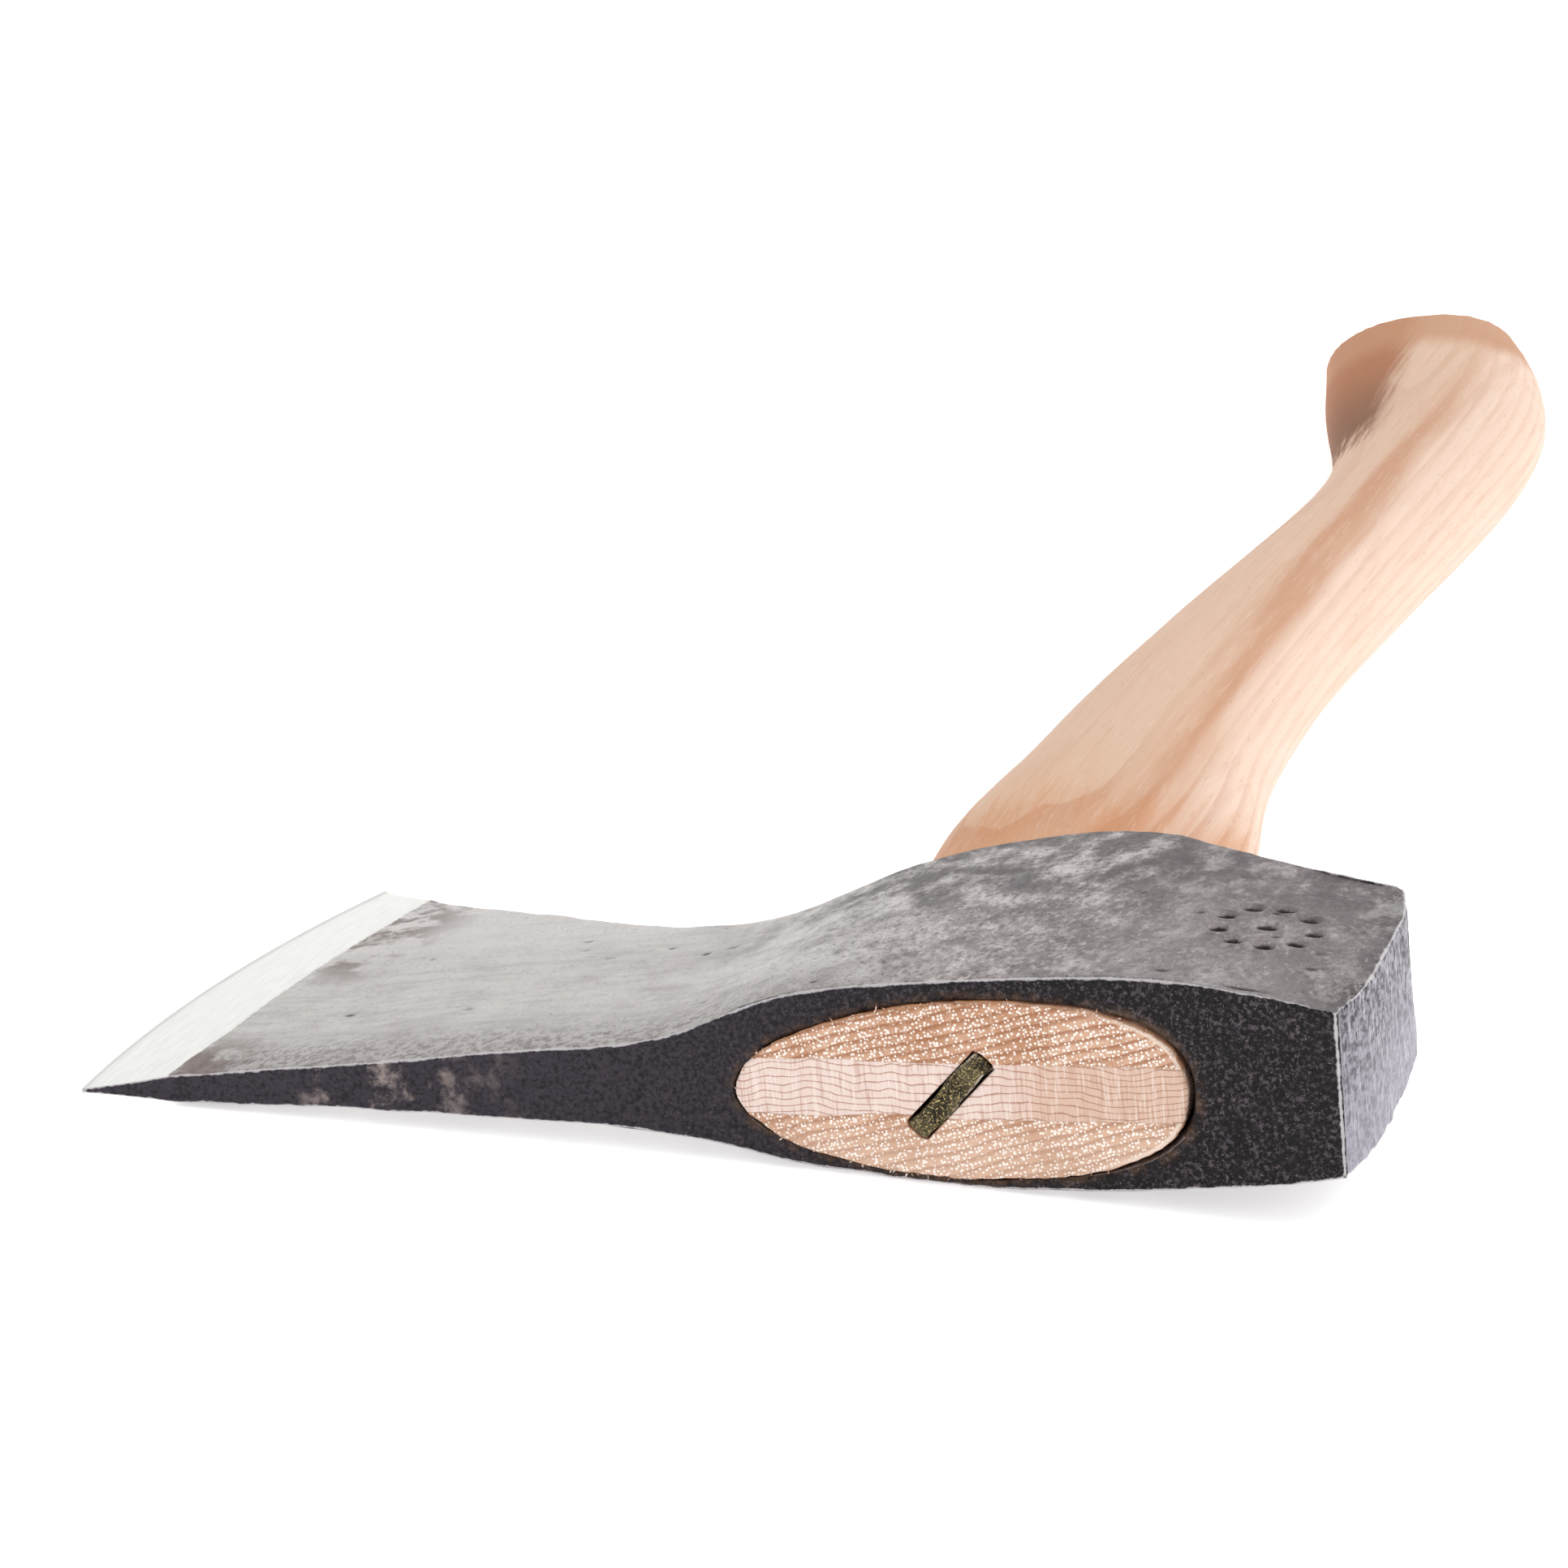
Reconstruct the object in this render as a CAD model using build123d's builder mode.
from build123d import *
from math import cos, radians, sin, tan
import os

# A single-bit forged splitting axe, lying on its cheek on a flat surface.
#
# Frame: millimetres, Z up, Z = 0 is the surface it lies on, X runs from the cutting edge to the
# poll, Y runs from the top of the head along the handle to the knob. The origin is the middle of
# the ground that the whole tool covers.
#
# The tool is drawn in its own lying plane TOOL: u (local X) from edge to poll, v (local Y) along
# the handle, w (local Z) square to the cheeks. u = v = w = 0 is the centre of the eye, on the line
# that joins the toe of the blade to the top corner of the poll.

os.makedirs("parts", exist_ok=True)

# ---- lying pose -----------------------------------------------------------------------------
EYE_CENTRE = (37.4, -296.5, 14.39)    # where u = v = w = 0 lies in the row's frame
EDGE_DROP = 6.05                      # degrees, the blade end leans down to the surface
KNOB_RISE = 0.2                       # degrees, the handle climbs a little towards the knob

# ---- head -----------------------------------------------------------------------------------
TOE = (-125.5, 0.0)                   # (u, v) of the upper corner of the cutting edge
EDGE_BELLY = (-127.0, 49.0)           # fullest point of the curved edge
HEEL = (-119.6, 98.6)                 # lower corner of the cutting edge
EDGE_HALF = 0.12                      # half thickness of the honed edge
BEVEL_ANGLE = 7.6                     # degrees, each side of the grind
POLL_TOP = (48.9, 0.6)
POLL_LOW = (48.6, 58.2)
POLL_CROWN = 2.5                      # the struck face stands out from its two edges
POLL_FLAT = (20.0, 42.0)              # v range of the flat middle of the struck face
CHEEK_HALF = 14.4                     # half thickness over the eye

# Half thickness of the cheeks along u, from beyond the edge to beyond the poll.
UPPER_CHEEK = [(-132, 1.1), (-90, 2.9), (-60, 4.9), (-38, 7.7), (-29, 11.0), (-12, 13.6),
               (8, CHEEK_HALF), (28, 14.0), (43, 11.9), (56, 9.2)]
LOWER_CHEEK = [(-132, 1.1), (-90, 2.9), (-60, 4.9), (-38, 7.6), (-26, 10.5), (-12, 13.0),
               (8, CHEEK_HALF), (28, 14.0), (43, 12.4), (56, 9.8)]
# How full the cheeks are at each level v, at the blade and at the eye: crowned between the two
# rims, thinner at the heel and the lugs.
CHEEK_CROWN = [(-6, 1.0, 0.985), (30, 1.15, 1.01), (60, 1.15, 0.97), (104, 0.75, 0.8)]
BLADE_U = -132                        # the blade's share of the crown fades out from here ...
SOCKET_U = -38                        # ... to here

# ---- eye, handle top and wedges ---------------------------------------------------------------
EYE_SHIFT = -0.8                      # w of the eye's centre line, nearer to the lower cheek
EYE_TOP_V = -6.0                      # the eye is cut from above the head ...
EYE_LOW_V = 90.0                      # ... to below the lugs
EYE_TAPER = 0.028                     # narrowing of each side per millimetre of v
EYE_FRONT = -32.4                     # u of the eye's keen end at v = 0
EYE_BACK = 29.6                       # u of its blunt end at v = 0
EYE_HALF = 12.3                       # its half thickness at v = 0
EYE_SKEW = 0.12                       # the eye is keener towards the edge ...
EYE_SQUARE = 0.35                     # ... and squarer towards the poll
BACK_GAP = 0.6                        # open crescent between the wood and the back of the eye
WOOD_TOP_V = 3.3                      # the cut end of the handle, level with the rim of the eye
PLUG_LOW_V = 60.0                     # the handle fills the eye down to here

WEDGE_SHIFT = -0.7                    # w of the wooden wedge's centre plane
WEDGE_HALF = 3.8                      # half thickness at the top
WEDGE_TIP_HALF = 0.7
WEDGE_DEPTH = 44.0
KERF_DEPTH = 50.0                     # the saw cut goes on below the wedge

STEEL_CENTRE = (-2.7, -1.3)           # (u, w) of the steel wedge's centre
STEEL_ANGLE = 44.8                    # degrees from the long axis of the eye
STEEL_LONG = 14.0
STEEL_THICK = 3.5
STEEL_TIP = (12.5, 0.9)
STEEL_DEPTH = 28.0

# Handle below the head, at even steps of v: (front u, back u, half thickness).
NECK_V = 85.0                         # just below the lugs
NECK = (-29.3, 20.8, 10.0)
SHAFT_V = 110.0
SHAFT_STEP = 40.0
SHAFT = [(-32.0, 18.0, 11.8), (-31.0, 12.5, 12.2), (-30.0, 10.1, 12.3), (-28.4, 9.8, 12.2),
         (-26.5, 11.5, 12.0), (-23.9, 14.0, 12.0), (-21.5, 16.9, 12.0), (-20.8, 19.3, 12.1),
         (-23.6, 20.4, 12.4), (-30.7, 19.0, 12.9), (-38.4, 14.5, 13.3), (-45.0, 7.8, 13.6),
         (-51.6, -0.8, 13.6), (-58.0, -10.0, 13.4)]
KNOB_BACK = (-5.0, 595.0)             # (u, v) of the end of the knob at its back
KNOB_FRONT = (-51.0, 579.0)           # the end is cut shorter at the front
KNOB_ROUND = 7.0                      # rounding of the end, seen square to the cheek
KNOB_HALF = 14.0                      # half thickness that the rounding of the end starts from
KNOB_EASE = 8.0                       # rounding of the end, seen from its side

BEYOND = 30.0                         # how far a cutting shape reaches past the piece it cuts
OVAL_ANGLES = [22.5 * step for step in range(16)]

TOOL = Plane(Location(EYE_CENTRE, (KNOB_RISE, -EDGE_DROP, 0)))


def across(v):
    """The plane square to the handle at level v, seen from the head's top: x is u, y is w."""
    return Plane(TOOL.from_local_coords((0, v, 0)), x_dir=TOOL.x_dir, z_dir=-TOOL.y_dir)


def crown(u, blade, socket):
    """How full the cheek is at u, between its fullness at the blade and over the eye."""
    return blade + (socket - blade) * min((u - BLADE_U) / (SOCKET_U - BLADE_U), 1.0)


def oval(front, back, half, shift=0.0, skew=0.0, square=0.0):
    """A closed oval from u = front to u = back; skew and square make its back end blunter."""
    middle = (front + back) / 2
    reach = (back - front) / 2
    rim = []
    for angle in OVAL_ANGLES:
        along = cos(radians(angle))
        full = 1 + skew * along + square * max(along, 0.0) ** 4
        rim.append((middle + reach * along, half * full * sin(radians(angle))))
    with BuildSketch() as shape:
        with BuildLine():
            Spline(*[(u, shift + w) for u, w in rim], periodic=True)
        make_face()
    return shape.sketch


def eye_oval(v, gap=0.0):
    """The eye at level v; gap leaves its blunt end short, as the wood does, and its sides a hair."""
    narrow = EYE_TAPER * v
    return oval(EYE_FRONT + narrow + gap / 8, EYE_BACK - narrow - gap, EYE_HALF - narrow / 2 - gap / 8,
                EYE_SHIFT, EYE_SKEW, EYE_SQUARE)


# ---- head -----------------------------------------------------------------------------------
with BuildPart() as head:
    # the cheeks, as seen from the top of the head, crowned along the handle
    for v, blade, socket in CHEEK_CROWN:
        with BuildSketch(across(v)):
            with BuildLine():
                upper = Spline(*[(u, w * crown(u, blade, socket)) for u, w in UPPER_CHEEK])
                lower = Spline(*[(u, -w * crown(u, blade, socket)) for u, w in LOWER_CHEEK])
                Line(upper @ 0, lower @ 0)
                Line(upper @ 1, lower @ 1)
            make_face()
    loft()

    # the outline seen square to the cheek
    with BuildSketch(TOOL):
        with BuildLine():
            ThreePointArc(TOE, EDGE_BELLY, HEEL)
            Spline(HEEL, (-107, 87.0), (-79, 71.0), (-51, 59.8), (-34, 62.4), (-20, 72.0),
                   (-2, 80.2), (11, 75.6), (22, 66.4), (34, 61.6), POLL_LOW)
            flat_low = (POLL_LOW[0] + POLL_CROWN, POLL_FLAT[1])
            flat_top = (POLL_LOW[0] + POLL_CROWN, POLL_FLAT[0])
            TangentArc(flat_low, POLL_LOW, tangent=(0, 1))
            Line(flat_low, flat_top)
            TangentArc(flat_top, POLL_TOP, tangent=(0, -1))
            Spline(POLL_TOP, (30, 2.6), (0, 3.9), (-45, 3.4), (-90, 1.9), TOE)
        make_face()
    extrude(amount=BEYOND, both=True, mode=Mode.INTERSECT)

    # the grind: a shallow cone on each side, about the centre of the curved edge
    edge_arc = ThreePointArc(TOE, EDGE_BELLY, HEEL, mode=Mode.PRIVATE)
    centre = edge_arc.arc_center
    reach = edge_arc.radius
    rise = BEYOND * tan(radians(BEVEL_ANGLE))
    grind_plane = Plane(TOOL.from_local_coords(centre), x_dir=-TOOL.x_dir, z_dir=TOOL.y_dir)
    for side in (1, -1):
        with BuildSketch(grind_plane):
            with BuildLine():
                Polyline((reach + 5, side * (EDGE_HALF - rise / 6)), (reach, side * EDGE_HALF),
                         (reach - BEYOND, side * (EDGE_HALF + rise)), (reach - BEYOND, side * 25),
                         (reach + 5, side * 25), close=True)
            make_face()
        revolve(axis=Axis(grind_plane.origin, TOOL.z_dir), mode=Mode.SUBTRACT)

    # the eye
    for v in (EYE_TOP_V, EYE_LOW_V):
        with BuildSketch(across(v)):
            add(eye_oval(v))
    loft(ruled=True, mode=Mode.SUBTRACT)
head.part.label = "head"
export_step(head.part, "parts/head.step")

# ---- wedges -----------------------------------------------------------------------------------
with BuildPart() as steel_wedge:
    for depth, long, thick in ((0.0, STEEL_LONG, STEEL_THICK), (STEEL_DEPTH, *STEEL_TIP)):
        with BuildSketch(across(WOOD_TOP_V + depth)):
            with Locations(Location((*STEEL_CENTRE, 0), (0, 0, STEEL_ANGLE))):
                Rectangle(long, thick)
    loft(ruled=True)
steel_wedge.part.label = "steel_wedge"
export_step(steel_wedge.part, "parts/steel_wedge.step")


def plug(gap):
    """The tapered oval that fills the eye from the cut end of the handle downwards."""
    with BuildPart() as filler:
        for v in (WOOD_TOP_V, PLUG_LOW_V):
            with BuildSketch(across(v)):
                add(eye_oval(v, gap))
        loft(ruled=True)
    return filler.part


with BuildPart() as wooden_wedge:
    for depth, half in ((0.0, WEDGE_HALF), (WEDGE_DEPTH, WEDGE_TIP_HALF)):
        with BuildSketch(across(WOOD_TOP_V + depth)):
            with Locations((0, WEDGE_SHIFT)):
                Rectangle(90, 2 * half)
    loft(ruled=True)
    add(plug(BACK_GAP), mode=Mode.INTERSECT)
    add(steel_wedge.part, mode=Mode.SUBTRACT)
wooden_wedge.part.label = "wooden_wedge"
export_step(wooden_wedge.part, "parts/wooden_wedge.step")

# ---- handle -----------------------------------------------------------------------------------
with BuildPart() as handle:
    with BuildSketch(across(PLUG_LOW_V)):
        add(eye_oval(PLUG_LOW_V, BACK_GAP))
    with BuildSketch(across(NECK_V)):
        add(oval(*NECK, EYE_SHIFT / 2))
    for step, section in enumerate(SHAFT):
        with BuildSketch(across(SHAFT_V + step * SHAFT_STEP)):
            add(oval(*section))
    loft()
    # the end of the knob, cut at a slant and rounded over as seen square to the cheek
    with BuildSketch(TOOL):
        with BuildLine():
            Polyline(KNOB_FRONT, KNOB_BACK, (KNOB_BACK[0] + BEYOND, KNOB_BACK[1] - 4 * BEYOND),
                     (3 * BEYOND, 0), (-3 * BEYOND, 0), (-3 * BEYOND, KNOB_FRONT[1] - 4 * BEYOND), close=True)
        make_face()
        fillet(vertices().sort_by(Axis.Y)[-2:], KNOB_ROUND)
    extrude(amount=BEYOND, both=True, mode=Mode.INTERSECT)
    # and as seen from its side
    slant = TOOL.from_local_coords(KNOB_BACK) - TOOL.from_local_coords(KNOB_FRONT)
    with BuildSketch(Plane(TOOL.from_local_coords(KNOB_BACK), x_dir=TOOL.z_dir, z_dir=slant)):
        Rectangle(2 * KNOB_HALF, 30 * BEYOND, align=(Align.CENTER, Align.MIN))
        fillet(vertices().sort_by(Axis.Y)[:2], KNOB_EASE)
    extrude(amount=10 * BEYOND, both=True, mode=Mode.INTERSECT)
    add(plug(BACK_GAP))
    # kerf
    for depth, half in ((0.0, WEDGE_HALF), (WEDGE_DEPTH, WEDGE_TIP_HALF), (KERF_DEPTH, WEDGE_TIP_HALF)):
        with BuildSketch(across(WOOD_TOP_V + depth)):
            with Locations((0, WEDGE_SHIFT)):
                Rectangle(90, 2 * half)
    loft(ruled=True, mode=Mode.SUBTRACT)
    add(steel_wedge.part, mode=Mode.SUBTRACT)
handle.part.label = "handle"
export_step(handle.part, "parts/handle.step")
